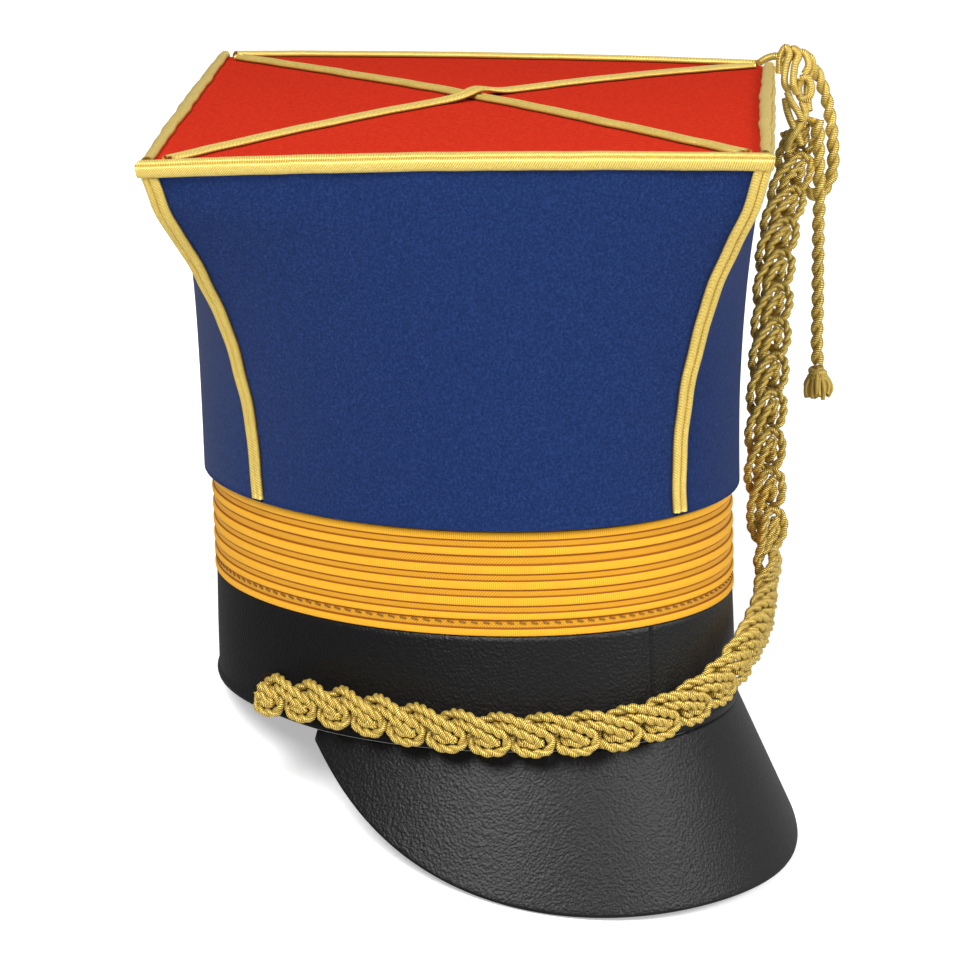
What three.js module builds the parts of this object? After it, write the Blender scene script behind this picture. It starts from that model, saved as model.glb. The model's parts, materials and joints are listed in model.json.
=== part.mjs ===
// A square-topped dress shako (the lancer's form) with a leather headband and peak, a ribbed braid
// band, four cloth panels, a square cloth-covered top, gold corner braids and a plaited cap cord.
//
// Every piece is drawn in the hat's own frame: the rim is the plane z = 0, the peak faces -Y and
// the wearer's left is +X. The finished hat then leans back until it rests on its peak and its rear
// rim, and the group is moved so that it stands on z = 0, centred over the origin. Millimetres, +Z up.

import * as THREE from 'three';

const deg = THREE.MathUtils.degToRad;
const lerp = THREE.MathUtils.lerp;

// ---- driving dimensions ---------------------------------------------------------------------

const HEAD = { halfWidth: 80.9, halfLength: 104.8 };          // outside of the headband, an oval
const GAP = 0.3;                                              // left between pieces that touch
const RING_STEPS = 56;                                        // facets round the oval

const LEATHER = { bandTop: 39.6, tuckTop: 84, wall: 2.2, rebate: 2.0 };
const RIBBED = { bottom: 39.9, ribsTop: 76.4, top: 80.5, backing: 1.7, ribHeight: 0.6 };
const CROWN = { bottom: 76.9, overhang: 3.0, wall: 2.5, rows: 10, columns: 10 };
const TOP = {
  side: 204.4, height: 205.3, thickness: 3.0,
  shiftLeft: 4.9, shiftFront: 4.3,                            // the square sits a little off centre
  turn: deg(-0.9), riseToRear: deg(2.2), riseToLeft: deg(0.6),
  frontRearLift: 1.6, edgeBow: 1.25, middleBow: 1.3, cells: 8, upperInset: 0.6, lowerInset: 2.6,
};
const PEAK = {
  halfSpan: deg(84.5), fullSpan: deg(87.6), rootOffset: 1.0, rootHeight: -0.4, thickness: 2.2,
  length: 58.4, slopeMiddle: deg(67.2), slopeSide: deg(65.7), roundness: 3.1, taper: 1.17,
  columns: 32, rows: 5,
};
const BUTTON = { angle: deg(97), height: 8.6, standOff: 2.1, radius: 7.2, thickness: 1.4, dome: 0.4 };
const BRAID = {
  cornerFoot: 0.012, cornerHead: 0.92, cornerSteps: 14, edgeSteps: 10,
  diagonalTrim: 0.05, diagonalSteps: 20, crossingLift: 3.4, crossingReach: 26, crossingRamp: 15,
};
const BESIDE = 0.03;                                          // a short step off a seam, as a share
const PLAIT_RADIUS = 5.8;
const ROPE_RADIUS = 2.25;

// Where each corner seam meets the headband, as an angle round the oval from the front towards the
// wearer's right. The two side seams run down and slightly back.
const CORNERS = [
  { name: 'front', topX: 0, topY: -1, lift: 1, bottomAngle: deg(0) },
  { name: 'right', topX: -1, topY: 0, lift: -1, bottomAngle: deg(98.5) },
  { name: 'rear', topX: 0, topY: 1, lift: 1, bottomAngle: deg(180) },
  { name: 'left', topX: 1, topY: 0, lift: -1, bottomAngle: deg(261.5) },
];

// How far a corner has flared out (0 at the band, 1 at the square top) at each share of its height,
// with a cubic drawn between the rows.
const FLARE = [
  { up: 0.00, out: 0.000 }, { up: 0.12, out: 0.012 }, { up: 0.25, out: 0.050 },
  { up: 0.38, out: 0.138 }, { up: 0.50, out: 0.252 }, { up: 0.62, out: 0.405 },
  { up: 0.75, out: 0.620 }, { up: 0.87, out: 0.850 }, { up: 1.00, out: 1.000 },
];

// The braid band from its lower edge upwards: heights of the raised ribs and the flat twill between.
const RIBS = [
  { rib: 2.4, flat: 3.3 }, { rib: 2.2, flat: 2.6 }, { rib: 2.9, flat: 2.7 }, { rib: 2.8, flat: 2.6 },
  { rib: 2.9, flat: 3.5 }, { rib: 2.6, flat: 2.7 }, { rib: 2.9, flat: 0.4 },
];

// Routes of the three cords in the hat's frame, from where each leaves the corner knot.
const PLAIT_ROUTE = [
  [160.2, -9.0, 187.2], [160.2, -9.0, 182.1], [158.0, -10.0, 173.0], [153.7, -12.0, 164.3],
  [147.2, -15.0, 156.4], [140.6, -18.5, 148.9], [133.4, -23.0, 139.9], [126.8, -28.0, 130.2],
  [120.6, -33.0, 120.5], [114.4, -38.0, 110.8], [108.3, -42.8, 101.3], [103.0, -47.0, 91.6],
  [98.6, -50.5, 81.6], [95.0, -53.5, 71.5], [92.0, -56.3, 61.2], [89.2, -59.2, 51.1],
  [85.6, -63.0, 41.0], [77.8, -70.5, 32.6], [62.8, -83.4, 27.6], [47.4, -94.6, 25.4],
  [33.2, -103.2, 23.0], [22.0, -107.9, 19.4], [10.4, -110.6, 15.8], [-4.7, -111.2, 12.2],
  [-17.0, -109.3, 9.9], [-27.6, -105.7, 8.8], [-37.0, -100.9, 8.4], [-45.6, -95.0, 8.4],
  [-53.3, -88.3, 8.5], [-60.2, -80.9, 8.7], [-66.3, -72.7, 9.1], [-71.8, -63.7, 9.7],
  [-76.6, -53.8, 10.6], [-80.8, -43.0, 12.0], [-84.2, -31.2, 12.8], [-87.2, -17.9, 13.2],
  [-89.4, -8.0, 13.2], [-91.3, 1.0, 13.2], [-92.2, 8.0, 13.2],
];
const LOOP_ROUTE = [
  [165.2, -13.2, 204.4], [168.4, -13.6, 198.8], [171.4, -14.2, 191.2], [173.2, -14.6, 182.6],
  [173.9, -14.9, 174.2], [173.8, -15.0, 166.4], [172.4, -14.6, 160.4], [169.9, -13.6, 156.8],
  [167.0, -12.4, 155.4], [164.0, -11.2, 156.2], [161.4, -10.8, 158.6],
];
const TAIL_ROUTE = [
  [162.2, -18.4, 184.4], [162.4, -18.6, 178.6], [162.2, -18.7, 172.0], [162.2, -18.7, 166.0],
  [162.3, -18.8, 160.0], [162.1, -19.0, 154.0], [161.4, -19.0, 146.0], [161.2, -19.0, 137.0],
  [161.0, -18.9, 127.0], [160.9, -18.8, 117.0], [160.6, -18.6, 107.0], [160.5, -18.5, 98.0],
  [160.8, -18.5, 92.4],
];
const CORNER_KNOT = { centre: [159.8, -9.6, 199.4], halfWidth: 4.8, halfDepth: 5.6, halfHeight: 11.2 };
const TAIL_KNOT = { radius: 5.6, height: 12.4, gap: 0.3 };

// ---- materials ------------------------------------------------------------------------------

const paint = (color, roughness, metalness) =>
  new THREE.MeshStandardMaterial({ color, roughness, metalness });
const MATERIALS = {
  blueCloth: () => paint(0x22397a, 0.95, 0.0),
  redCloth: () => paint(0xc22a1a, 0.95, 0.0),
  yellowBraid: () => paint(0xe8a41c, 0.6, 0.0),
  goldBraid: () => paint(0xd9b545, 0.45, 0.4),
  blackLeather: () => paint(0x17171a, 0.42, 0.0),
  bronze: () => paint(0x4a3626, 0.4, 0.8),
};

// ---- shape helpers --------------------------------------------------------------------------

const vec = (x, y, z) => new THREE.Vector3(x, y, z);

// A closed body through a row of outlines that all have the same number of points. Each outline
// runs out along one face of a wall and back along the other, so an end is closed by the strip
// between point i and the point opposite it. With ring = true the last outline meets the first.
function loft(outlines, ring = false) {
  const count = outlines[0].length;
  const positions = outlines.flat().flatMap((p) => [p.x, p.y, p.z]);
  const index = [];
  const quad = (a, b, c, d) => index.push(a, b, c, a, c, d);
  const last = ring ? outlines.length : outlines.length - 1;
  for (let k = 0; k < last; k += 1) {
    const here = k * count;
    const next = ((k + 1) % outlines.length) * count;
    for (let i = 0; i < count; i += 1) {
      const j = (i + 1) % count;
      quad(here + i, here + j, next + j, next + i);
    }
  }
  if (!ring) {
    const end = (outlines.length - 1) * count;
    for (let i = 0; 2 * i + 2 < count; i += 1) {
      const [a, b, c, d] = [i, i + 1, count - 2 - i, count - 1 - i];
      const isPoint = b === c;
      const near = isPoint ? [a, d, b] : [a, d, c, a, c, b];
      const far = isPoint ? [a, b, d] : [a, b, c, a, c, d];
      index.push(...near, ...far.map((corner) => end + corner));
    }
  }
  const geometry = new THREE.BufferGeometry();
  geometry.setAttribute('position', new THREE.Float32BufferAttribute(positions, 3));
  geometry.setIndex(signedVolume(positions, index) < 0 ? index.reverse() : index);
  geometry.computeVertexNormals();
  return geometry;
}

function signedVolume(positions, index) {
  const corner = (i) => new THREE.Vector3().fromArray(positions, 3 * index[i]);
  let volume = 0;
  for (let i = 0; i < index.length; i += 3) {
    volume += corner(i).dot(corner(i + 1).cross(corner(i + 2))) / 6;
  }
  return volume;
}

// A round cord along a list of points.
function cordTube(route, radius, sides, steps) {
  const section = new THREE.Shape(
    Array.from({ length: sides }, (_, i) => {
      const angle = (2 * Math.PI * i) / sides;
      return new THREE.Vector2(radius * Math.cos(angle), radius * Math.sin(angle));
    }),
  );
  const path = new THREE.CatmullRomCurve3(route.map((p) => vec(...p)), false, 'centripetal');
  return new THREE.ExtrudeGeometry(section, { steps, bevelEnabled: false, extrudePath: path });
}

// ---- the oval of the head -------------------------------------------------------------------

// A point on the oval, `offset` outside the headband, `angle` from the front to the wearer's right.
function ovalPoint(angle, offset, height) {
  const x = HEAD.halfWidth * Math.sin(angle);
  const y = HEAD.halfLength * Math.cos(angle);
  const normal = vec(-x / HEAD.halfWidth ** 2, -y / HEAD.halfLength ** 2, 0).normalize();
  return vec(-x, -y, height).addScaledVector(normal, offset);
}

const ovalNormal = (angle) => ovalPoint(angle, 1, 0).sub(ovalPoint(angle, 0, 0));

// A band round the whole oval from a closed profile of { out, up } points.
function ovalBand(profile) {
  const outlines = Array.from({ length: RING_STEPS }, (_, k) => {
    const angle = (2 * Math.PI * k) / RING_STEPS;
    return profile.map(({ out, up }) => ovalPoint(angle, out, up));
  });
  return loft(outlines, true);
}

// ---- leather headband, ribbed band ----------------------------------------------------------

function headbandGeometry() {
  const { bandTop, tuckTop, wall, rebate } = LEATHER;
  return ovalBand([
    { out: 1.8, up: 0 }, { out: 1.8, up: 1.4 }, { out: 0.8, up: 3.6 }, { out: 0.4, up: 18 },
    { out: 0, up: bandTop }, { out: -rebate, up: bandTop }, { out: -rebate, up: tuckTop },
    { out: -rebate - wall, up: tuckTop }, { out: -rebate - wall, up: bandTop - 3 },
    { out: -wall, up: bandTop - 8 }, { out: -wall + 0.6, up: 3.6 }, { out: -0.5, up: 0 },
  ]);
}

function ribbedBandGeometry() {
  const { bottom, ribsTop, top, backing, ribHeight } = RIBBED;
  const total = RIBS.reduce((sum, row) => sum + row.rib + row.flat, 0);
  const scale = (ribsTop - bottom) / total;
  const profile = [];
  let up = bottom;
  for (const { rib, flat } of RIBS) {
    const high = rib * scale;
    profile.push({ out: 0, up }, { out: ribHeight, up: up + high * 0.25 });
    profile.push({ out: ribHeight, up: up + high * 0.75 }, { out: 0, up: up + high });
    up += high + flat * scale;
  }
  profile.push({ out: 0, up: top }, { out: -backing, up: top }, { out: -backing, up: bottom });
  return ovalBand(profile);
}

// ---- crown ----------------------------------------------------------------------------------

// The square top's corners, from its side, its turn and its slopes.
function topCorner({ topX, topY, lift }, inset = 0) {
  const reach = TOP.side / Math.SQRT2 - inset;
  const x = reach * (topX * Math.cos(TOP.turn) - topY * Math.sin(TOP.turn));
  const y = reach * (topX * Math.sin(TOP.turn) + topY * Math.cos(TOP.turn));
  const rise = y * Math.tan(TOP.riseToRear) + x * Math.tan(TOP.riseToLeft) + lift * TOP.frontRearLift;
  return vec(TOP.shiftLeft + x, -TOP.shiftFront + y, TOP.height + rise);
}

function flareAt(share) {
  const last = FLARE.length - 1;
  const k = Math.min(FLARE.findLastIndex((row) => row.up <= share), last - 1);
  const slope = (i) => {
    const [a, b] = [FLARE[Math.max(i - 1, 0)], FLARE[Math.min(i + 1, last)]];
    return (b.out - a.out) / (b.up - a.up);
  };
  const [a, b] = [FLARE[k], FLARE[k + 1]];
  const width = b.up - a.up;
  const t = (share - a.up) / width;
  const [t2, t3] = [t * t, t * t * t];
  return (2 * t3 - 3 * t2 + 1) * a.out + (3 * t2 - 2 * t3) * b.out
    + (t3 - 2 * t2 + t) * width * slope(k) + (t3 - t2) * width * slope(k + 1);
}

const bow = (share) => 4 * share * (1 - share);

// Outside of the panel that starts at corner k: `along` runs from that corner to the next, `up` from
// the band to the top. The foot is an arc of the head's oval and the head of the panel is straight.
function panelPoint(k, along, up) {
  const [a, b] = [CORNERS[k], CORNERS[(k + 1) % 4]];
  const endAngle = b.bottomAngle > a.bottomAngle ? b.bottomAngle : b.bottomAngle + 2 * Math.PI;
  const foot = ovalPoint(lerp(a.bottomAngle, endAngle, along), CROWN.overhang, CROWN.bottom);
  const head = topCorner(a).lerp(topCorner(b), along);
  head.z += TOP.edgeBow * bow(along);
  const out = flareAt(up);
  return vec(lerp(foot.x, head.x, out), lerp(foot.y, head.y, out), lerp(foot.z, head.z, up));
}

function panelNormal(k, along, up) {
  const step = 0.004;
  const [u0, u1] = [Math.max(up - step, 0), Math.min(up + step, 1)];
  const across = panelPoint(k, along + step, up).sub(panelPoint(k, along - step, up));
  const upward = panelPoint(k, along, u1).sub(panelPoint(k, along, u0));
  return upward.cross(across).normalize();
}

// The panel's inner face lies straight in towards the hat's axis, so neighbours meet on a mitre.
function panelInnerPoint(k, along, up) {
  const outer = panelPoint(k, along, up);
  const inward = vec(-outer.x, -outer.y, 0).normalize();
  const normal = panelNormal(k, along, up).setZ(0).normalize();
  return outer.addScaledVector(inward, CROWN.wall / Math.max(-inward.dot(normal), 0.6));
}

function panelGeometry(k) {
  const edge = GAP / 2 / 140;                                 // half the gap, as a share of the panel
  const reach = TOP.height - CROWN.bottom;
  const upMost = 1 - (TOP.thickness + GAP) / reach;
  const outlines = Array.from({ length: CROWN.columns + 1 }, (_, c) => {
    const along = lerp(edge, 1 - edge, c / CROWN.columns);
    const rows = Array.from({ length: CROWN.rows + 1 }, (_, r) => (upMost * r) / CROWN.rows);
    return [
      ...rows.map((up) => panelPoint(k, along, up)),
      ...rows.reverse().map((up) => panelInnerPoint(k, along, up)),
    ];
  });
  return loft(outlines);
}

// Upper face of the square top: `u` runs from the front corner to the right one, `v` from the front
// corner to the left one, both 0 to 1. It bows up along its edges and a little more in the middle.
function topPoint(u, v, inset = 0) {
  const [front, right, rear, left] = CORNERS.map((corner) => topCorner(corner, inset));
  const point = front.lerp(right, u).lerp(left.lerp(rear, u), v);
  point.z += TOP.edgeBow * (bow(u) + bow(v)) + TOP.middleBow * bow(u) * bow(v);
  return point;
}

function topBoardGeometry() {
  const { cells, upperInset, lowerInset } = TOP;
  const shares = Array.from({ length: cells + 1 }, (_, i) => i / cells);
  const outlines = shares.map((u) => [
    ...shares.map((v) => topPoint(u, v, upperInset)),
    ...[...shares].reverse().map((v) => topPoint(u, v, lowerInset).add(vec(0, 0, -TOP.thickness))),
  ]);
  return loft(outlines);
}

// ---- braid ----------------------------------------------------------------------------------

// The braid is two round ridges side by side. `side` picks the surface it lies on, `along` is the
// distance from the seam over that surface and `up` the height above it.
const BRAID_SECTION = [
  { side: 0, along: 3.7, up: 1.7 }, { side: 0, along: 2.0, up: 2.8 }, { side: 0, along: 0.2, up: 1.6 },
  { side: 1, along: 2.0, up: 2.8 }, { side: 1, along: 3.7, up: 1.7 }, { side: 1, along: 3.8, up: 0.5 },
  { side: 1, along: 1.9, up: 0.5 }, { side: 1, along: 0.0, up: 0.6 }, { side: 0, along: 1.9, up: 0.5 },
  { side: 0, along: 3.8, up: 0.5 },
];

// A braid over a seam. frameAt(share) gives the seam point and, for the surface on each side of it,
// the direction away from the seam and the outward normal.
function braidGeometry(frameAt, steps) {
  const outlines = Array.from({ length: steps + 1 }, (_, i) => {
    const { point, away, normals } = frameAt(i / steps);
    const middle = normals[0].clone().add(normals[1]).normalize();
    return BRAID_SECTION.map(({ side, along, up }) => {
      const rise = along < 1 ? middle : normals[side];
      return point.clone().addScaledVector(away[side], along).addScaledVector(rise, up);
    });
  });
  return loft(outlines);
}

const directionTo = (from, to) => to.clone().sub(from).normalize();

function cornerBraidGeometry(k) {
  const before = (k + 3) % 4;
  const frameAt = (share) => {
    const up = lerp(BRAID.cornerFoot, BRAID.cornerHead, share);
    const point = panelPoint(k, 0, up);
    return {
      point,
      away: [
        directionTo(point, panelPoint(before, 1 - BESIDE, up)),
        directionTo(point, panelPoint(k, BESIDE, up)),
      ],
      normals: [panelNormal(before, 1, up), panelNormal(k, 0, up)],
    };
  };
  return braidGeometry(frameAt, BRAID.cornerSteps);
}

// The top edge over panel k: half the braid lies on the top, half on the panel below the edge.
const CORNER_SHARES = [[0, 0], [1, 0], [1, 1], [0, 1]];       // u, v of the top at each corner

function edgeBraidGeometry(k, { start, end }) {
  const [from, to] = [CORNER_SHARES[k], CORNER_SHARES[(k + 1) % 4]];
  const frameAt = (share) => {
    const along = lerp(start / TOP.side, 1 - end / TOP.side, share);
    const point = panelPoint(k, along, 1);
    const [u, v] = [lerp(from[0], to[0], along), lerp(from[1], to[1], along)];
    const inner = topPoint(lerp(u, 0.5, BESIDE), lerp(v, 0.5, BESIDE));
    return {
      point,
      away: [directionTo(point, inner), directionTo(point, panelPoint(k, along, 1 - BESIDE))],
      normals: [vec(0, 0, 1), panelNormal(k, along, 1)],
    };
  };
  return braidGeometry(frameAt, BRAID.edgeSteps);
}

// A diagonal from corner to corner over the top. `lift` raises the upper one where they cross.
function diagonalBraidGeometry(fromFront, lift) {
  const { diagonalTrim, diagonalSteps, crossingReach, crossingRamp } = BRAID;
  const at = (t) => (fromFront ? topPoint(t, t) : topPoint(t, 1 - t));
  const frameAt = (share) => {
    const s = lerp(diagonalTrim, 1 - diagonalTrim, share);
    const point = at(s);
    const forward = directionTo(at(s - 0.01), at(s + 0.01));
    const side = vec(0, 0, 1).cross(forward).normalize();
    const nearness = crossingReach - point.distanceTo(at(0.5));
    point.z += lift * THREE.MathUtils.smoothstep(nearness, 0, crossingRamp);
    return { point, away: [side, side.clone().negate()], normals: [vec(0, 0, 1), vec(0, 0, 1)] };
  };
  return braidGeometry(frameAt, diagonalSteps);
}

// ---- peak -----------------------------------------------------------------------------------

// Upper face of the peak: `angle` round the oval, `share` from its root to its edge. The peak's
// length falls off towards its ends as (1 - |t|^roundness)^taper.
function peakPoint(angle, share, depth = 0) {
  const t = angle / PEAK.fullSpan;
  const slope = lerp(PEAK.slopeMiddle, PEAK.slopeSide, t * t);
  const length = PEAK.length * (1 - Math.abs(t) ** PEAK.roundness) ** PEAK.taper;
  const outward = ovalNormal(angle);
  const along = outward.clone().multiplyScalar(Math.cos(slope)).setZ(-Math.sin(slope));
  const normal = outward.clone().multiplyScalar(Math.sin(slope)).setZ(Math.cos(slope));
  return ovalPoint(angle, PEAK.rootOffset, PEAK.rootHeight)
    .addScaledVector(along, share * length)
    .addScaledVector(normal, -depth);
}

function peakGeometry() {
  const rows = Array.from({ length: PEAK.rows + 1 }, (_, r) => r / PEAK.rows);
  const outlines = Array.from({ length: PEAK.columns + 1 }, (_, c) => {
    const angle = lerp(-PEAK.halfSpan, PEAK.halfSpan, c / PEAK.columns);
    const under = (share) => {
      const point = peakPoint(angle, share, PEAK.thickness);
      return share === 0 ? point.setZ(Math.min(point.z, PEAK.rootHeight)) : point;
    };
    return [...rows.map((share) => peakPoint(angle, share)), ...[...rows].reverse().map(under)];
  });
  return loft(outlines);
}

// How far back the hat leans when its peak and its rear rim both touch a table.
function restingLean() {
  const rearRim = HEAD.halfLength + 1.8;
  const steps = Array.from({ length: 101 }, (_, i) => lerp(-PEAK.halfSpan, PEAK.halfSpan, i / 100));
  const slopes = steps.flatMap((angle) => [0, PEAK.thickness].map((depth) => {
    const edge = peakPoint(angle, 1, depth);
    return -edge.z / (rearRim - edge.y);
  }));
  return Math.atan(Math.max(...slopes));
}

// ---- button and knots -----------------------------------------------------------------------

function sideButton() {
  const { radius, thickness, dome } = BUTTON;
  const profile = [
    [0, 0], [radius, 0], [radius, thickness - dome], [radius - dome, thickness], [0, thickness + dome],
  ].map(([r, h]) => new THREE.Vector2(r, h));
  return new THREE.LatheGeometry(profile, 24);
}

function cornerKnot() {
  const { halfWidth, halfDepth, halfHeight } = CORNER_KNOT;
  const profile = Array.from({ length: 9 }, (_, i) => {
    const angle = -Math.PI / 2 + (Math.PI * i) / 8;
    return new THREE.Vector2(i % 8 === 0 ? 0 : Math.cos(angle), Math.sin(angle));
  });
  return new THREE.LatheGeometry(profile, 14).rotateX(Math.PI / 2).scale(halfWidth, halfDepth, halfHeight);
}

function tailKnot() {
  const { radius, height } = TAIL_KNOT;
  const profile = [
    [0, 0], [0.36, 0], [0.62, 0.22], [0.86, 0.42], [1, 0.7], [0.86, 0.93], [0.4, 1], [0, 1],
  ].map(([r, h]) => new THREE.Vector2(r * radius, -h * height));
  return new THREE.LatheGeometry(profile.reverse(), 14).rotateX(Math.PI / 2);
}

// ---- assembly -------------------------------------------------------------------------------

const hat = new THREE.Group();

function place(name, geometry, material) {
  const mesh = new THREE.Mesh(geometry, material());
  mesh.name = name;
  hat.add(mesh);
  return mesh;
}

place('leather_headband', headbandGeometry(), MATERIALS.blackLeather);
place('ribbed_band', ribbedBandGeometry(), MATERIALS.yellowBraid);
place('leather_peak', peakGeometry(), MATERIALS.blackLeather);
place('top_board', topBoardGeometry(), MATERIALS.redCloth);

const PANEL_NAMES = ['front_right', 'rear_right', 'rear_left', 'front_left'];
// The edge braid over the front-right panel runs past both its corners; the others stop short.
const EDGE_TRIMS = [
  { start: -2.0, end: -2.0 }, { start: 5.5, end: -1.5 }, { start: 5.5, end: 5.5 }, { start: 5.5, end: 5.5 },
];
PANEL_NAMES.forEach((name, k) => {
  place(`crown_panel_${name}`, panelGeometry(k), MATERIALS.blueCloth);
  place(`edge_braid_${name}`, edgeBraidGeometry(k, EDGE_TRIMS[k]), MATERIALS.goldBraid);
  place(`corner_braid_${CORNERS[k].name}`, cornerBraidGeometry(k), MATERIALS.goldBraid);
});
place('diagonal_braid_front_rear', diagonalBraidGeometry(true, 0), MATERIALS.goldBraid);
place('diagonal_braid_right_left', diagonalBraidGeometry(false, BRAID.crossingLift), MATERIALS.goldBraid);

const button = place('side_button', sideButton(), MATERIALS.bronze);
button.position.copy(ovalPoint(BUTTON.angle, BUTTON.standOff, BUTTON.height));
button.quaternion.setFromUnitVectors(vec(0, 1, 0), ovalNormal(BUTTON.angle));

place('corner_knot', cornerKnot(), MATERIALS.goldBraid).position.set(...CORNER_KNOT.centre);
place('plaited_cord', cordTube(PLAIT_ROUTE, PLAIT_RADIUS, 10, 44), MATERIALS.goldBraid);
place('cord_loop', cordTube(LOOP_ROUTE, ROPE_RADIUS, 8, 16), MATERIALS.goldBraid);
place('cord_tail', cordTube(TAIL_ROUTE, ROPE_RADIUS, 8, 14), MATERIALS.goldBraid);
const [tailX, tailY, tailZ] = TAIL_ROUTE.at(-1);
place('tail_knot', tailKnot(), MATERIALS.goldBraid).position.set(tailX, tailY, tailZ - TAIL_KNOT.gap);

// Lean the hat back onto its peak and rear rim, then stand it on z = 0 over the origin. The cords
// and what is on them are left out of the centring.
const shako = new THREE.Group();
shako.add(hat);
hat.rotation.x = -restingLean();
shako.updateMatrixWorld(true);
const CORD_PIECES = ['plaited_cord', 'cord_loop', 'cord_tail', 'tail_knot', 'corner_knot'];
const box = new THREE.Box3();
for (const mesh of hat.children.filter((piece) => !CORD_PIECES.includes(piece.name))) {
  box.union(new THREE.Box3().setFromObject(mesh, true));
}
const middle = box.getCenter(new THREE.Vector3());
hat.position.set(-middle.x, -middle.y, -box.min.z);

export default shako;
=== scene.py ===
# %% [markdown]
# # A square-topped dress shako
#
# The cap has a leather headband and peak, a broad band of ribbed braid, four flaring panels of blue
# wool, a square red top, gold braid on every edge, and gold cords that hang from one corner. The
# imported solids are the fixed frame. Each visible piece is worked out here as a surface, with numpy.

# %% Load the fixed frame
import json

import bpy
import numpy as np
from mathutils import Matrix


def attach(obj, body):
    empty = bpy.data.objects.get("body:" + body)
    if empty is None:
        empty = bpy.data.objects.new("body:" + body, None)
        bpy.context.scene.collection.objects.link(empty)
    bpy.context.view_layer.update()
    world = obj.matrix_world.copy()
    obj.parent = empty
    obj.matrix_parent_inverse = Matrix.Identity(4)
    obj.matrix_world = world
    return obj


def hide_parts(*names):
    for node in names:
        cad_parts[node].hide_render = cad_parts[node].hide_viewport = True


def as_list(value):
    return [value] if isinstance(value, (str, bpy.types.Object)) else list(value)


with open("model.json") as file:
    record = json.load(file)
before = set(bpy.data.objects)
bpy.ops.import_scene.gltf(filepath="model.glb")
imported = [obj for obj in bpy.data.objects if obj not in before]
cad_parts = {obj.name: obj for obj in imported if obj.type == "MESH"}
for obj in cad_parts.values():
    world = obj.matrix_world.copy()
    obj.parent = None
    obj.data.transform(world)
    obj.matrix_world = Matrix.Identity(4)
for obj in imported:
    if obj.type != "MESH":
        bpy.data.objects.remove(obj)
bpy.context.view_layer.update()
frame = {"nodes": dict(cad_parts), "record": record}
print("solids:", len(frame["nodes"]))

# %% [markdown]
# ## The cap's own frame
#
# The cap leans back on its peak and rear rim. It is simplest to draw it upright, with its rim in the
# plane z = 0, the peak towards -Y and millimetres as units, and to turn every point afterwards. The
# record's head opening gives that turn: its point is the upright origin, its axis points down.

# %% From the upright cap to the standing one
opening = next(mount for mount in frame["record"]["mounts"] if mount["name"] == "head_opening")
ORIGIN = np.array(opening["pos_m"])
CAP_UP = -np.array(opening["axis"])
CAP_LEFT = np.array([1.0, 0.0, 0.0])
CAP_AXES = np.stack([CAP_LEFT, np.cross(CAP_UP, CAP_LEFT), CAP_UP])
MM = 0.001


def to_row(points):
    """Upright millimetres to the standing cap's metres: origin + x left + y back + z up."""
    return ORIGIN + MM * np.asarray(points, float) @ CAP_AXES


def unit(vectors):
    """Each vector divided by its own length."""
    return vectors / np.linalg.norm(vectors, axis=-1, keepdims=True)


def stack(*parts):
    """Coordinates x, y, z of any shapes that fit each other, as one array of points."""
    return np.stack(np.broadcast_arrays(*parts), axis=-1)


# %% [markdown]
# ## Camera
#
# A long lens stands in front of the cap, towards the wearer's right, a little above it. It is placed
# in the cap's upright frame, so it keeps its angle to the cap whatever the cap leans on.

# %% Set the camera
AZIMUTH, ELEVATION, ROLL = np.radians([-41.42, 13.04, -1.61])
DISTANCE, AIM_RIGHT, AIM_UP = 1497.24, 2.27, 70.51           # mm
LENS, SENSOR = 155.7, 36.0                                   # mm

back = np.array([
    np.sin(AZIMUTH) * np.cos(ELEVATION), -np.cos(AZIMUTH) * np.cos(ELEVATION), np.sin(ELEVATION)
])
level_right = np.array([np.cos(AZIMUTH), np.sin(AZIMUTH), 0.0])
level_up = np.cross(back, level_right)
VIEW_RIGHT = np.cos(ROLL) * level_right + np.sin(ROLL) * level_up
VIEW_UP = -np.sin(ROLL) * level_right + np.cos(ROLL) * level_up
eye = DISTANCE * back + AIM_RIGHT * VIEW_RIGHT + AIM_UP * VIEW_UP

lens = bpy.data.cameras.new("camera")
lens.lens, lens.sensor_width = LENS, SENSOR
camera = bpy.data.objects.new("camera", lens)
bpy.context.scene.collection.objects.link(camera)
turn = np.eye(4)
turn[:3, :3] = (np.stack([VIEW_RIGHT, VIEW_UP, back]) @ CAP_AXES).T
turn[:3, 3] = to_row(eye)
camera.matrix_world = Matrix(turn.tolist())
bpy.context.scene.camera = camera
print("camera at", np.round(turn[:3, 3], 3))

# %% [markdown]
# ## Meshes from grids
#
# Every surface here is a grid of points: rows along one direction, columns along the other. Either
# direction may close on itself. One function turns a grid into faces, so a piece is only its formula.

# %% Grid to mesh


def grid_faces(rows, columns, wrap_rows=False, wrap_columns=False):
    """Quads of a grid, and the unwrapped row and column of each of their corners."""
    i, j = np.meshgrid(
        np.arange(rows if wrap_rows else rows - 1),
        np.arange(columns if wrap_columns else columns - 1), indexing="ij",
    )
    corner_rows = np.stack([i, i + 1, i + 1, i], -1).reshape(-1, 4)
    corner_columns = np.stack([j, j, j + 1, j + 1], -1).reshape(-1, 4)
    faces = (corner_rows % rows) * columns + corner_columns % columns
    return faces, corner_rows, corner_columns


def volume(points, faces):
    """Signed volume of a closed mesh of quads: the sum of its tetrahedra to the origin."""
    a, b, c, d = (points[faces[:, k]] for k in range(4))
    return np.einsum("ij,ij->i", a, np.cross(b, c) + np.cross(c, d)).sum()


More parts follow.
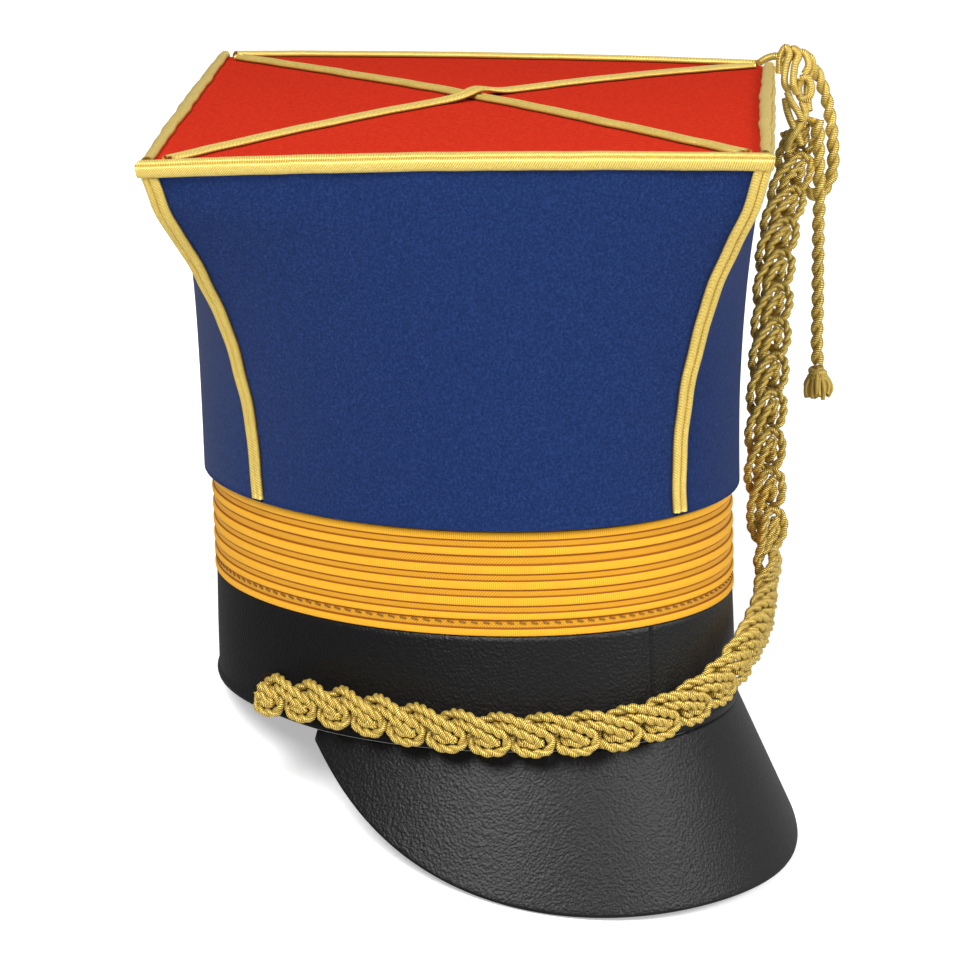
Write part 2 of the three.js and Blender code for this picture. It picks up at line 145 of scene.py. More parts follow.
def add_piece(name, points, faces, uv, material, ends=(), attribute=None):
    """A mesh object in the standing frame that rides on the cap. uv has four corners a face."""
    if volume(points, faces) < 0:
        faces, uv = faces[:, ::-1], uv[:, ::-1]
        ends = [end[::-1] for end in ends]
    mesh = bpy.data.meshes.new(name)
    mesh.from_pydata(to_row(points).tolist(), [], faces.tolist() + [list(end) for end in ends])
    layer = mesh.uv_layers.new(name="cloth")
    spare = np.zeros((sum(len(end) for end in ends), 2))
    layer.data.foreach_set("uv", np.concatenate([uv.reshape(-1, 2), spare]).ravel())
    if attribute is not None:
        values = mesh.attributes.new("ridge", "FLOAT", "POINT")
        values.data.foreach_set("value", np.asarray(attribute, np.float32).ravel())
    mesh.polygons.foreach_set("use_smooth", np.ones(len(mesh.polygons), bool))
    mesh.update()
    mesh.materials.append(material)
    piece = bpy.data.objects.new(name, mesh)
    bpy.context.scene.collection.objects.link(piece)
    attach(piece, "root")
    return piece


def lengths(points):
    """Distance run along each line of points, from its start."""
    steps = np.linalg.norm(np.diff(points, axis=0), axis=-1)
    return np.concatenate([[0.0], np.cumsum(steps)])


def sweep(name, sections, material, closed=False, attribute=None):
    """Closed body through rings of points: sections[step, place on the ring]. u and v are in mm."""
    rows, columns = sections.shape[:2]
    faces, corner_rows, corner_columns = grid_faces(rows, columns, closed, True)
    v = lengths(np.concatenate([sections[0], sections[0][:1]]))
    middle = sections.mean(axis=1)
    u = lengths(np.concatenate([middle, middle[:1]]) if closed else middle)
    uv = np.stack([u[corner_rows], v[corner_columns]], -1)
    first = list(range(columns))[::-1]
    last = list(range((rows - 1) * columns, rows * columns))
    ends = [] if closed else [first, last]
    return add_piece(name, sections.reshape(-1, 3), faces, uv, material, ends, attribute)


def shell(name, outer, inner, material):
    """A wall between two grids of the same size, with the strips that join their borders."""
    rows, columns = outer.shape[:2]
    faces, corner_rows, corner_columns = grid_faces(rows, columns)
    index = np.arange(rows * columns).reshape(rows, columns)
    rim = np.concatenate([index[0, :-1], index[:-1, -1], index[-1, :0:-1], index[:0:-1, 0]])
    ahead = np.roll(rim, -1)
    offset = rows * columns
    strip = np.stack([ahead, rim, rim + offset, ahead + offset], -1)[:, ::-1]
    u, v = lengths(outer[:, columns // 2]), lengths(outer[rows // 2])
    uv = np.stack([u[corner_rows], v[corner_columns]], -1)
    every_face = np.concatenate([faces, faces[:, ::-1] + offset, strip[:, ::-1]])
    every_uv = np.concatenate([uv, uv[:, ::-1], np.zeros((len(strip), 4, 2))])
    points = np.concatenate([outer.reshape(-1, 3), inner.reshape(-1, 3)])
    return add_piece(name, points, every_face, every_uv, material)


# %% [markdown]
# ## Material tools
#
# Colours are the sRGB hex values that a maker would name. Shaders work on light, so one function
# turns a hex value to linear. One more adds a node with its settings and links.

# %% Colours and nodes


def linear(colour):
    """sRGB hex to linear: c / 12.92 when dark, else ((c + 0.055) / 1.055) to the power 2.4."""
    channels = np.array([int(colour[k:k + 2], 16) for k in (1, 3, 5)]) / 255
    bent = ((channels + 0.055) / 1.055) ** 2.4
    return (*np.where(channels <= 0.04045, channels / 12.92, bent).tolist(), 1.0)


def add_node(material, kind, inputs=None, **settings):
    """A node of this kind. An input is a value, or another node's output to link from."""
    node = material.node_tree.nodes.new("ShaderNode" + kind)
    for key, value in settings.items():
        setattr(node, key, value)
    for key, value in (inputs or {}).items():
        if isinstance(value, bpy.types.NodeSocket):
            material.node_tree.links.new(value, node.inputs[key])
        else:
            node.inputs[key].default_value = value
    return node


def new_material(name, **shader):
    """A material with one Principled shader, its sockets set directly."""
    material = bpy.data.materials.new(name)
    material.use_nodes = True
    surface = material.node_tree.nodes["Principled BSDF"]
    for key, value in shader.items():
        surface.inputs[key.replace("_", " ")].default_value = value
    return material, surface


def ramp(material, factor, stops):
    """Colours at places from 0 to 1, as (place, hex) pairs."""
    node = add_node(material, "ValToRGB", {"Fac": factor})
    elements = node.color_ramp.elements
    while len(elements) < len(stops):
        elements.new(0.5)
    for element, (place, colour) in zip(elements, stops):
        element.position, element.color = place, linear(colour)
    return node.outputs["Color"]


def bump(material, surface, height, strength, depth_mm, before=None):
    """Height from 0 to 1 as a bump depth_mm deep."""
    inputs = {"Height": height, "Strength": strength, "Distance": depth_mm * MM}
    if before is not None:
        inputs["Normal"] = before
    node = add_node(material, "Bump", inputs)
    material.node_tree.links.new(node.outputs["Normal"], surface.inputs["Normal"])
    return node.outputs["Normal"]


def per_mm(size):
    """Texture scale, in turns a metre, of a feature this many millimetres wide."""
    return 1 / (size * MM)


def noise(material, size, detail=3.0, rough=0.6, vector=None):
    """Noise with features of this size in mm, on Object coordinates unless told otherwise."""
    source = vector or add_node(material, "TexCoord").outputs["Object"]
    inputs = {"Vector": source, "Scale": per_mm(size), "Detail": detail, "Roughness": rough}
    return add_node(material, "TexNoise", inputs).outputs["Fac"]


MIX_FIRST_COLOUR, MIX_SECOND_COLOUR, MIX_COLOUR = 6, 7, 2    # sockets of a Mix node used for colour


def stripes(material, along_mm, around_mm):
    """0 to 1 waves over the cloth map: half of 1 + sin(2 pi (u / along + v / around))."""
    split = add_node(material, "SeparateXYZ", {0: add_node(material, "UVMap").outputs["UV"]})
    terms = [
        add_node(material, "Math", {0: split.outputs[k], 1: 2 * np.pi / size}, operation="MULTIPLY")
        for k, size in enumerate((along_mm, around_mm))
    ]
    total = add_node(material, "Math", {0: terms[0].outputs[0], 1: terms[1].outputs[0]})
    wave = add_node(material, "Math", {0: total.outputs[0]}, operation="SINE")
    return add_node(
        material, "Math", {0: wave.outputs[0], 1: 0.5, 2: 0.5}, operation="MULTIPLY_ADD"
    ).outputs[0]


def mix(material, factor, first, second, blend="MIX"):
    """Colour mix of two colours or sockets, or their product when blend is MULTIPLY."""
    inputs = {"Factor": factor, MIX_FIRST_COLOUR: first, MIX_SECOND_COLOUR: second}
    node = add_node(material, "Mix", inputs, data_type="RGBA", blend_type=blend)
    return node.outputs[MIX_COLOUR]


# %% [markdown]
# ## Cloth, braid, leather and cord
#
# The panels are melton, a fulled and sheared wool: no weave shows, only short fibres of lighter and
# darker blue. The top is wool felt, dyed scarlet. Neither has any gloss to speak of.

# %% Wool cloths


def wool(name, dark, middle, light, fibre_mm, gloss):
    """Fulled wool: a speckle of fibres in three shades, matt."""
    material, surface = new_material(
        name, Roughness=0.95, Specular_IOR_Level=gloss, Sheen_Weight=gloss, Sheen_Roughness=0.5
    )
    speckle = noise(material, fibre_mm, detail=4.0, rough=0.8)
    colour = ramp(material, speckle, [(0.3, dark), (0.5, middle), (0.72, light)])
    material.node_tree.links.new(colour, surface.inputs["Base Color"])
    bump(material, surface, speckle, 0.5, 0.35)
    return material


melton = wool("blue_melton_wool", "#0f1e42", "#16274f", "#24396a", 0.9, 0.04)
felt = wool("scarlet_wool_felt", "#a82415", "#ba2d1c", "#c63a24", 1.3, 0.0)
print("wool:", melton.name, felt.name)

# %% [markdown]
# The gold braid is lace wound with fine gilt thread, which crosses it at a slant. The cord is the
# same thread wound round a core. On both, the colour paints pale highlights on the threads and
# olive-brown shade between them.

# %% Gold thread


def gold_thread(name, along_mm, around_mm, depth_mm, stops):
    """Gilt thread: slanted stripes on the piece's own map for colour and height, with painted light and
    shade.
    """
    material, surface = new_material(name, Metallic=0.35, Roughness=0.34)
    thread = stripes(material, along_mm, around_mm)
    uneven = noise(material, 0.8, detail=2.0)
    height = add_node(material, "Math", {0: uneven, 1: 0.5, 2: thread}, operation="MULTIPLY_ADD")
    scaled = add_node(material, "Math", {0: height.outputs[0], 1: 1.5}, operation="DIVIDE")
    # The stripes' ramp paints a highlight on each thread and shade between the threads.
    colour = ramp(material, scaled.outputs[0], stops)
    ridge = add_node(material, "Attribute", attribute_name="ridge").outputs["Fac"]
    # Painted shade: a low ridge value, in a braid's groove and on its underside, darkens the gold.
    shade = ramp(material, ridge, [(0.0, "#94701c"), (0.5, "#ffffff")])
    thread_with_painted_shade = mix(material, 1.0, colour, shade, "MULTIPLY")
    material.node_tree.links.new(thread_with_painted_shade, surface.inputs["Base Color"])
    bump(material, surface, scaled.outputs[0], 0.9, depth_mm)
    return material


# Each ramp runs from painted shade between the threads to a painted highlight on them.
GILT_AND_PAINTED_LIGHT = [(0.1, "#8a6612"), (0.38, "#cfa534"), (0.66, "#efd564"), (0.92, "#fff6b0")]
gilt_braid = gold_thread("gilt_thread_braid", 0.55, 1.5, 0.1, GILT_AND_PAINTED_LIGHT)
GILT_CORD_AND_PAINTED_LIGHT = [(0.18, "#583c04"), (0.42, "#bc8e20"), (0.68, "#eac84a"), (0.9, "#fff4a8")]
gilt_cord = gold_thread("gilt_wound_cord", 0.6, 2.2, 0.16, GILT_CORD_AND_PAINTED_LIGHT)
print("gold:", gilt_braid.name, gilt_cord.name)

# %% [markdown]
# The broad band is silk-like ribbed braid. Its raised ribs are smooth with fine threads across them,
# and the flat strips between are twill, whose lines run on a slant and look darker. The darkest
# lines, at the foot of each rib where the mesh's ridge value is half way, are painted shade.

# %% Ribbed braid
ribbed_silk, surface = new_material(
    "yellow_ribbed_braid", Roughness=0.6, Specular_IOR_Level=0.2
)
across_threads = stripes(ribbed_silk, 0.7, 1e6)
twill_lines = stripes(ribbed_silk, 1.1, 1.1)
rib_colour = ramp(ribbed_silk, across_threads, [(0.0, "#c98c14"), (1.0, "#e2a828")])
twill_colour = ramp(ribbed_silk, twill_lines, [(0.15, "#ae7a10"), (0.8, "#d29620")])
rib = add_node(ribbed_silk, "Attribute", attribute_name="ridge").outputs["Fac"]
# Painted shade at the foot of each rib: the ramp is darkest at ridge value one half.
foot_shade = ramp(
    ribbed_silk, rib, [(0.0, "#ffffff"), (0.25, "#e0c08c"), (0.5, "#a88044"), (0.85, "#ffffff")]
)
silk_colour = mix(ribbed_silk, rib, twill_colour, rib_colour)
shaded_silk = mix(ribbed_silk, 1.0, silk_colour, foot_shade, "MULTIPLY")
ribbed_silk.node_tree.links.new(shaded_silk, surface.inputs["Base Color"])
bump(ribbed_silk, surface, twill_lines, 0.5, 0.15,
     bump(ribbed_silk, surface, across_threads, 0.3, 0.08))

# %% [markdown]
# The headband and peak are black chrome-tanned nappa: a soft, fine grain of small cells and short
# wrinkles, with a half-matt finish that is glossier on the high grain.

# %% Black leather
nappa, surface = new_material("black_nappa_leather", Roughness=0.4, Specular_IOR_Level=0.42)
surface.inputs["Base Color"].default_value = linear("#0b0b0d")
place = add_node(nappa, "TexCoord").outputs["Object"]
cells = add_node(
    nappa, "TexVoronoi", {"Vector": place, "Scale": per_mm(0.9)}, feature="SMOOTH_F1"
).outputs["Distance"]
wrinkles = noise(nappa, 1.1, detail=5.0, rough=0.65)
grain = add_node(nappa, "Math", {0: cells, 1: wrinkles}, operation="ADD").outputs[0]
gloss = add_node(nappa, "MapRange", {"Value": wrinkles, "To Min": 0.34, "To Max": 0.52})
nappa.node_tree.links.new(gloss.outputs["Result"], surface.inputs["Roughness"])
soft_waves = bump(nappa, surface, noise(nappa, 26.0), 0.25, 0.6)
bump(nappa, surface, grain, 0.8, 0.28, soft_waves)

# %% Dark thread
dark_thread, surface = new_material("dark_linen_thread", Roughness=0.8)
surface.inputs["Base Color"].default_value = linear("#7a520c")

# %% Dark bronze
bronze, surface = new_material("dulled_dark_bronze", Metallic=0.9, Roughness=0.38)
tarnish = noise(bronze, 3.0)
bronze.node_tree.links.new(
    ramp(bronze, tarnish, [(0.35, "#2e2018"), (0.7, "#6a3e28")]), surface.inputs["Base Color"]
)
bump(bronze, surface, tarnish, 0.2, 0.1)
print("materials:", len(bpy.data.materials))

# %% [markdown]
# ## The oval, the panels and the top
#
# The headband is an oval. Each panel starts on an arc of it and ends on one straight side of the
# square top, and it flares on the way. These few formulas place the cloth and all the braid on it.

# %% Shape of the cap
HALF_WIDTH, HALF_LENGTH = 80.9, 104.8                        # mm, outside of the headband
SEAMS = np.radians([0.0, 98.5, 180.0, 261.5, 360.0])         # feet of the corner seams
CORNER_NAMES = ["front", "right", "rear", "left"]
PANEL_NAMES = ["front_right", "rear_right", "rear_left", "front_left"]
CORNER_DIRECTIONS = np.array([[0, -1, 1], [-1, 0, -1], [0, 1, 1], [1, 0, -1]])
CROWN_BOTTOM, CROWN_OVERHANG, CROWN_WALL = 76.9, 3.0, 2.5
TOP_SIDE, TOP_HEIGHT, TOP_THICKNESS = 204.4, 205.3, 3.0
TOP_SHIFT = np.array([4.9, -4.3])
TOP_TURN, RISE_TO_REAR, RISE_TO_LEFT = np.radians([-0.9, 2.2, 0.6])
CORNER_LIFT, EDGE_BOW, MIDDLE_BOW = 1.6, 1.25, 1.3
FLARE_UP = np.array([0, 0.12, 0.25, 0.38, 0.5, 0.62, 0.75, 0.87, 1.0])
FLARE_OUT = np.array([0, 0.012, 0.05, 0.138, 0.252, 0.405, 0.62, 0.85, 1.0])


def oval(angle, offset=0.0, height=0.0):
    """Oval point, offset outside it: angle runs from the front towards the wearer's right."""
    x, y = -HALF_WIDTH * np.sin(angle), -HALF_LENGTH * np.cos(angle)
    normal = unit(stack(x / HALF_WIDTH**2, y / HALF_LENGTH**2))
    return stack(x + offset * normal[..., 0], y + offset * normal[..., 1], height)


def corner(k, inset=0.0):
    """Corner k of the square top, moved in towards the middle by the inset."""
    along_x, along_y, lift = CORNER_DIRECTIONS[k % 4]
    reach = TOP_SIDE / np.sqrt(2) - inset
    x = reach * (along_x * np.cos(TOP_TURN) - along_y * np.sin(TOP_TURN))
    y = reach * (along_x * np.sin(TOP_TURN) + along_y * np.cos(TOP_TURN))
    rise = y * np.tan(RISE_TO_REAR) + x * np.tan(RISE_TO_LEFT) + lift * CORNER_LIFT
    return np.array([TOP_SHIFT[0] + x, TOP_SHIFT[1] + y, TOP_HEIGHT + rise])


def bow(share):
    """0 at both ends, 1 in the middle: 4 s (1 - s)."""
    return 4 * share * (1 - share)


def flare(up):
    """How far a corner has flared out at each share of its height: a cubic through the table."""
    slopes = np.empty_like(FLARE_OUT)
    slopes[1:-1] = (FLARE_OUT[2:] - FLARE_OUT[:-2]) / (FLARE_UP[2:] - FLARE_UP[:-2])
    slopes[0] = FLARE_OUT[1] / FLARE_UP[1]
    slopes[-1] = (FLARE_OUT[-1] - FLARE_OUT[-2]) / (FLARE_UP[-1] - FLARE_UP[-2])
    k = np.clip(np.searchsorted(FLARE_UP, up, side="right") - 1, 0, len(FLARE_UP) - 2)
    width = FLARE_UP[k + 1] - FLARE_UP[k]
    t = (up - FLARE_UP[k]) / width
    ends = (2 * t**3 - 3 * t**2 + 1) * FLARE_OUT[k] + (3 * t**2 - 2 * t**3) * FLARE_OUT[k + 1]
    return ends + width * ((t**3 - 2 * t**2 + t) * slopes[k] + (t**3 - t**2) * slopes[k + 1])


def panel(k, along, up):
    """Outside of panel k: an arc of the oval at the foot, a straight side of the top at the head."""
    along, up = np.broadcast_arrays(np.asarray(along, float), np.asarray(up, float))
    foot = oval(SEAMS[k] + (SEAMS[k + 1] - SEAMS[k]) * along, CROWN_OVERHANG, CROWN_BOTTOM)
    head = (1 - along[..., None]) * corner(k) + along[..., None] * corner(k + 1)
    out = flare(up)[..., None]
    flat = (1 - out) * foot[..., :2] + out * head[..., :2]
    top = head[..., 2] + EDGE_BOW * bow(along)
    return stack(flat[..., 0], flat[..., 1], CROWN_BOTTOM + (top - CROWN_BOTTOM) * up)


def panel_normal(k, along, up, step=0.004):
    """Outward normal of a panel, from the difference of near points."""
    along, up = np.broadcast_arrays(np.asarray(along, float), np.asarray(up, float))
    below, above = np.clip(up - step, 0, 1), np.clip(up + step, 0, 1)
    across = panel(k, along + step, up) - panel(k, along - step, up)
    return unit(np.cross(panel(k, along, above) - panel(k, along, below), across))


def top(u, v, inset=0.0):
    """Upper face of the top: u from the front corner to the right one, v to the left one."""
    u, v = np.broadcast_arrays(np.asarray(u, float)[..., None], np.asarray(v, float)[..., None])
    front, right, rear, left = (corner(k, inset) for k in range(4))
    point = (front * (1 - u) + right * u) * (1 - v) + (left * (1 - u) + rear * u) * v
    point[..., 2:] += EDGE_BOW * (bow(u) + bow(v)) + MIDDLE_BOW * bow(u) * bow(v)
    return point


# %% [markdown]
# ## Crown panels and red top
#
# A panel is a wall of cloth over a stiffened shell. The outer face is the formula above, and the
# inner face lies straight in from it, so that neighbours meet on a mitre under the corner braid.

# %% Blue panels and the red top
GAP_SHARE = 0.15 / 140                                       # half of a 0.3 mm gap, of a panel's width
along, up = np.meshgrid(
    np.linspace(GAP_SHARE, 1 - GAP_SHARE, 49), np.linspace(0, 0.974, 61), indexing="ij"
)
for k, name in enumerate(PANEL_NAMES):
    outer = panel(k, along, up)
    inward = unit(outer * [-1, -1, 0])
    facing = unit(panel_normal(k, along, up) * [1, 1, 0])
    depth = CROWN_WALL / np.maximum(-(inward * facing).sum(-1), 0.6)
    piece = shell(f"{name}_cloth", outer, outer + inward * depth[..., None], melton)
    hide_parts(f"crown_panel_{name}")

share = np.linspace(0, 1, 61)
u, v = np.meshgrid(share, share, indexing="ij")
under = top(u, v, 2.6) - [0, 0, TOP_THICKNESS]
piece = shell("red_top_cloth", top(u, v, 0.6), under, felt)
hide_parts("top_board")
print("cloth pieces: 5")

# %% [markdown]
# ## Gold braid
#
# The braid is two round ridges side by side with a groove between. Over an edge, each ridge lies on
# one of the two surfaces. So its section is given by the direction away from the edge and the normal
# on each side, and the same function makes the braid of corners, edges and diagonals. A corner braid
# is sewn mostly flat on one of its two panels. Sewn by hand, every braid wavers slightly.

# %% Braid section
BRAID_BASE, GROOVE_HEIGHT, UNDERSIDE, WAVER = 0.25, 0.7, 0.12, 0.45  # mm
WAVE_SIZES = (3.1, 5.3, 9.7)                                 # mm a radian
CORNER_RIDGE, EDGE_RIDGE, DIAGONAL_RIDGE = (2.9, 1.9), (3.5, 2.2), (2.9, 1.75)  # width, height
ridge_angle = np.linspace(0, np.pi, 10)


def wavering(run_mm, size, start):
    """The small unevenness of braid sewn by hand: three waves that don't repeat together."""
    waves = [np.sin(run_mm / wave + start * wave) for wave in WAVE_SIZES]
    return (size * sum(waves) / len(waves))[:, None]


def braid(name, points, away, normals, ridge_size, replaced):
    """Sections of a two-ridged braid: across = w (1 - cos t) / 2, height = base + h sin(t)^0.7."""
    middle = unit(normals[0] + normals[1])
    ridge_width, ridge_height = ridge_size
    across = ridge_width * (1 - np.cos(ridge_angle)) / 2
    height = BRAID_BASE + ridge_height * np.sin(ridge_angle) ** 0.7
    height[0] = GROOVE_HEIGHT
    # Ridge values for the painted shade: 1 on the crests, 0 in the groove and on the underside.
    ridge = np.sin(ridge_angle) ** 0.6
    rows, shade = [], []
    for side, order in ((0, slice(None, None, -1)), (1, slice(1, None))):
        for a, h, r in zip(across[order], height[order], ridge[order]):
            lean = unit(middle * (1 - a / ridge_width) + normals[side] * (a / ridge_width))
            rows.append(points + away[side] * a + lean * h)
            shade.append(r)
    for side, a in ((1, 0.5 * ridge_width), (0, 0.5 * ridge_width)):
        rows.append(points + away[side] * a + normals[side] * UNDERSIDE)
        shade.append(0.0)
    sections = np.stack(rows, axis=1)
    sections = sections + away[0][:, None] * wavering(lengths(points), WAVER, len(name))[:, None]
    attribute = np.tile(shade, (len(points), 1))
    piece = sweep(name, sections, gilt_braid, attribute=attribute)
    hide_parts(replaced)
    return piece


# %% Corner and edge braids
BESIDE = 0.03                                                # a short step off a seam, as a share
SEWN_SIDE = [1, 0, 1, 0]                                     # the panel each corner braid lies on
LAID_FLAT, MOVED_ON = 0.6, 1.0                               # share of flatness; mm on to that panel
up = np.linspace(0.012, 0.978, 92)
for k, name in enumerate(CORNER_NAMES):
    before = (k + 3) % 4
    points = panel(k, 0.0, up)
    away = [unit(panel(before, 1 - BESIDE, up) - points), unit(panel(k, BESIDE, up) - points)]
    normals = [panel_normal(before, 1.0, up), panel_normal(k, 0.0, up)]
    sewn = SEWN_SIDE[k]
    away[1 - sewn] = unit((1 - LAID_FLAT) * away[1 - sewn] - LAID_FLAT * away[sewn])
    normals[1 - sewn] = unit((1 - LAID_FLAT) * normals[1 - sewn] + LAID_FLAT * normals[sewn])
    points = points + MOVED_ON * away[sewn]
    braid(f"corner_lace_{name}", points, away, normals, CORNER_RIDGE, f"corner_braid_{name}")

SHARES = np.array([[0, 0], [1, 0], [1, 1], [0, 1]], float)   # u, v of the top at each corner
EDGE_TRIMS = [(-2.6, -2.6), (3.2, -1.5), (3.2, 3.2), (3.2, 3.2)]
for k, (name, (start, end)) in enumerate(zip(PANEL_NAMES, EDGE_TRIMS)):
    along = np.linspace(start / TOP_SIDE, 1 - end / TOP_SIDE, 120)
    points = panel(k, along, 1.0)
    place = SHARES[k] + (SHARES[(k + 1) % 4] - SHARES[k]) * along[:, None]
    inside = place + (0.5 - place) * BESIDE
    away = [unit(top(inside[:, 0], inside[:, 1]) - points), unit(panel(k, along, 1 - BESIDE) - points)]
    upright = np.tile([0.0, 0.0, 1.0], (len(along), 1))
    braid(f"edge_lace_{name}", points, away, [upright, panel_normal(k, along, 1.0)], EDGE_RIDGE,
          f"edge_braid_{name}")

# %% [markdown]
# The two diagonals cross in the middle. The one from the wearer's right to the left lies over the
# other, so it rises there, and it is pushed a little aside, which gives it a slack S.

# %% Diagonal braids
CROSSING_LIFT, CROSSING_WIDTH, SLACK = 2.2, 9.0, 2.4         # mm


def diagonal(name, along_front, lift, replaced):
    """A diagonal with a bump of height lift e^-(d/w)^2 and a sideways slack d/w e^-(d/w)^2."""
    share = np.linspace(0.035, 0.965, 160)
    at = (lambda s: top(s, s)) if along_front else (lambda s: top(s, 1 - s))
    points = at(share)
    forward = unit(at(share + 0.01) - at(share - 0.01))
    side = unit(np.cross([0.0, 0.0, 1.0], forward))
    away_from_crossing = (share - 0.5) * TOP_SIDE * np.sqrt(2) / CROSSING_WIDTH
    hump = np.exp(-away_from_crossing**2)[:, None]
    points = points + hump * [0, 0, lift]
    if lift:
        points = points + side * hump * away_from_crossing[:, None] * SLACK
    upright = np.tile([0.0, 0.0, 1.0], (len(share), 1))
    braid(name, points, [side, -side], [upright, upright], DIAGONAL_RIDGE, replaced)


diagonal("diagonal_lace_front_rear", True, 0.0, "diagonal_braid_front_rear")
diagonal("diagonal_lace_right_left", False, CROSSING_LIFT, "diagonal_braid_right_left")
print("braids: 10")

# %% [markdown]
# ## Ribbed band
#
# The band is a profile of ribs and flat strips carried round the oval. A rib is a half-round that
# starts and ends on the flat. The table gives each rib's height and that of the strip above it.

# %% Ribbed band
RIBBED_BOTTOM, RIBS_TOP, RIBBED_TOP, RIBBED_BACKING = 39.9, 76.4, 80.5, 1.7
# The ridge value at the foot of each rib, which the band's colour turns into painted shade.
RIB_DEPTH, FOOT_SHADE_MARK = 0.6, 0.5
RIBS = np.array([
    [2.4, 3.3], [2.2, 2.6], [2.9, 2.7], [2.8, 2.6], [2.9, 3.5], [2.6, 2.7], [2.9, 0.4],
])
heights = RIBS * (RIBS_TOP - RIBBED_BOTTOM) / RIBS.sum()
profile, rib_share = [], []
foot = RIBBED_BOTTOM
rib_turn = np.linspace(0, np.pi, 9)
for rib_height, strip in heights:
    for t in rib_turn:
        profile.append([RIB_DEPTH * np.sin(t) ** 0.6, foot + rib_height * (1 - np.cos(t)) / 2])
        rib_share.append(1.0 if 0 < t < 3.1 else FOOT_SHADE_MARK)
    foot += rib_height + strip
    for part, share in ((0.14, FOOT_SHADE_MARK), (0.26, 0.0), (0.5, 0.0), (0.74, 0.0), (0.86, FOOT_SHADE_MARK)):
        profile.append([-0.12, foot - strip * (1 - part)])
        rib_share.append(share)
profile += [[0.0, RIBBED_TOP], [-RIBBED_BACKING, RIBBED_TOP], [-RIBBED_BACKING, RIBBED_BOTTOM]]
rib_share += [0.0, 0.0, 0.0]
profile = np.array(profile)
angles = np.linspace(0, 2 * np.pi, 361)[:-1, None]
sections = oval(angles, profile[None, :, 0], profile[None, :, 1])
piece = sweep("ribbed_braid_band", sections, ribbed_silk, closed=True,
              attribute=np.tile(rib_share, (len(angles), 1)))
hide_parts("ribbed_band")

# %% [markdown]
# ## Leather headband
#
# The band's lower edge is turned into a rolled lip that stands over the root of the peak. Its top
# tucks up inside the braid. One end overlaps the other at the seam, a step near the middle front.
# Over the peak the lip reaches a little further down, so that no light shows between the two.

# %% Headband
SEAM_ANGLE, SEAM_STEP, SEAM_WIDTH = np.radians(7.5), 0.55, np.radians(0.45)
lip = np.radians(np.linspace(-20, 90, 8))
lip_profile = np.stack([0.6 + 0.8 * np.cos(lip), 1.35 + 1.3 * np.sin(lip)], -1)
lip_foot = [[0.8, 0.15], [1.2, 0.3]]
LIP_DROP, LIP_FOOT_TOP = 0.55, 0.5                           # mm, drop over the peak; below this height
wall = [
    [0.62, 3.3], [0.55, 5.0], [0.5, 12.0], [0.35, 22.0], [0.1, 32.0], [0.0, 37.6], [0.0, 39.3],
    [-0.4, 39.6], [-2.0, 39.6], [-2.0, 60.0], [-2.0, 84.0], [-4.2, 84.0], [-4.2, 60.0],
    [-4.2, 36.6], [-2.3, 31.6], [-2.2, 18.0], [-1.6, 3.6], [-0.6, 0.2],
]
profile = np.concatenate([lip_foot, lip_profile, wall])
near_seam = SEAM_ANGLE + np.linspace(-3, 3, 13) * SEAM_WIDTH
angles = np.unique(np.concatenate([np.linspace(0, 2 * np.pi, 289)[:-1], near_seam]))[:, None]
step = SEAM_STEP * np.exp(-((angles - SEAM_ANGLE) / SEAM_WIDTH) ** 2)
on_face = ((profile[:, 0] > -0.2) & (profile[:, 1] > 3)).astype(float)
over_peak = np.clip((np.cos(angles) + 0.1) / 0.2, 0, 1)
reaches_down = LIP_DROP * over_peak * (profile[:, 1] < LIP_FOOT_TOP)
sections = oval(angles, profile[None, :, 0] - step * on_face, profile[None, :, 1] - reaches_down)
piece = sweep("leather_band", sections, nappa, closed=True)
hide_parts("leather_headband")

# %% [markdown]
# ## Peak
#
# The peak slopes down steeply from under the lip. Its length falls off towards the temples as
# (1 - |t|^r)^p, which gives the long, even curve of its edge. The edge itself is half round.

# %% Peak
PEAK_HALF_SPAN, PEAK_FULL_SPAN = np.radians([84.5, 87.6])
PEAK_ROOT_OFFSET, PEAK_ROOT_HEIGHT, PEAK_THICKNESS, PEAK_LENGTH = 1.0, -0.4, 2.2, 58.4
PEAK_SLOPES = np.radians([67.2, 65.7])
PEAK_ROUNDNESS, PEAK_TAPER = 3.1, 1.17

angle = np.linspace(-PEAK_HALF_SPAN, PEAK_HALF_SPAN, 181)[:, None]
t = np.abs(angle / PEAK_FULL_SPAN)
slope = (PEAK_SLOPES[0] + (PEAK_SLOPES[1] - PEAK_SLOPES[0]) * t * t)[..., None]
reach = PEAK_LENGTH * (1 - t**PEAK_ROUNDNESS) ** PEAK_TAPER
outward = oval(angle, 1.0) - oval(angle, 0.0)
down = outward * np.cos(slope) - np.sin(slope) * [0, 0, 1]
face = outward * np.sin(slope) + np.cos(slope) * [0, 0, 1]
rows = np.linspace(0, 1, 41)
half = PEAK_THICKNESS / 2
round_edge = np.linspace(0, np.pi, 9)[1:-1]
distance = np.concatenate([
    rows[None] * (reach - half), reach - half + half * np.sin(round_edge)[None],
    rows[None, ::-1] * (reach - half),
], axis=1)
depth = np.concatenate([0 * rows, half - half * np.cos(round_edge), 0 * rows + PEAK_THICKNESS])
root = oval(angle, PEAK_ROOT_OFFSET, PEAK_ROOT_HEIGHT)
sections = root + down * distance[..., None] - face * depth[None, :, None]
sections[:, -1, 2] = np.minimum(sections[:, -1, 2], PEAK_ROOT_HEIGHT)
piece = sweep("leather_peak_cover", sections, nappa)
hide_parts("leather_peak")
print("leather pieces: 2")

# %% [markdown]
# ## Button
#
# A small domed button of dulled bronze sits on the headband where the plaited cord ends. It is a
# profile turned round the outward direction of the oval.

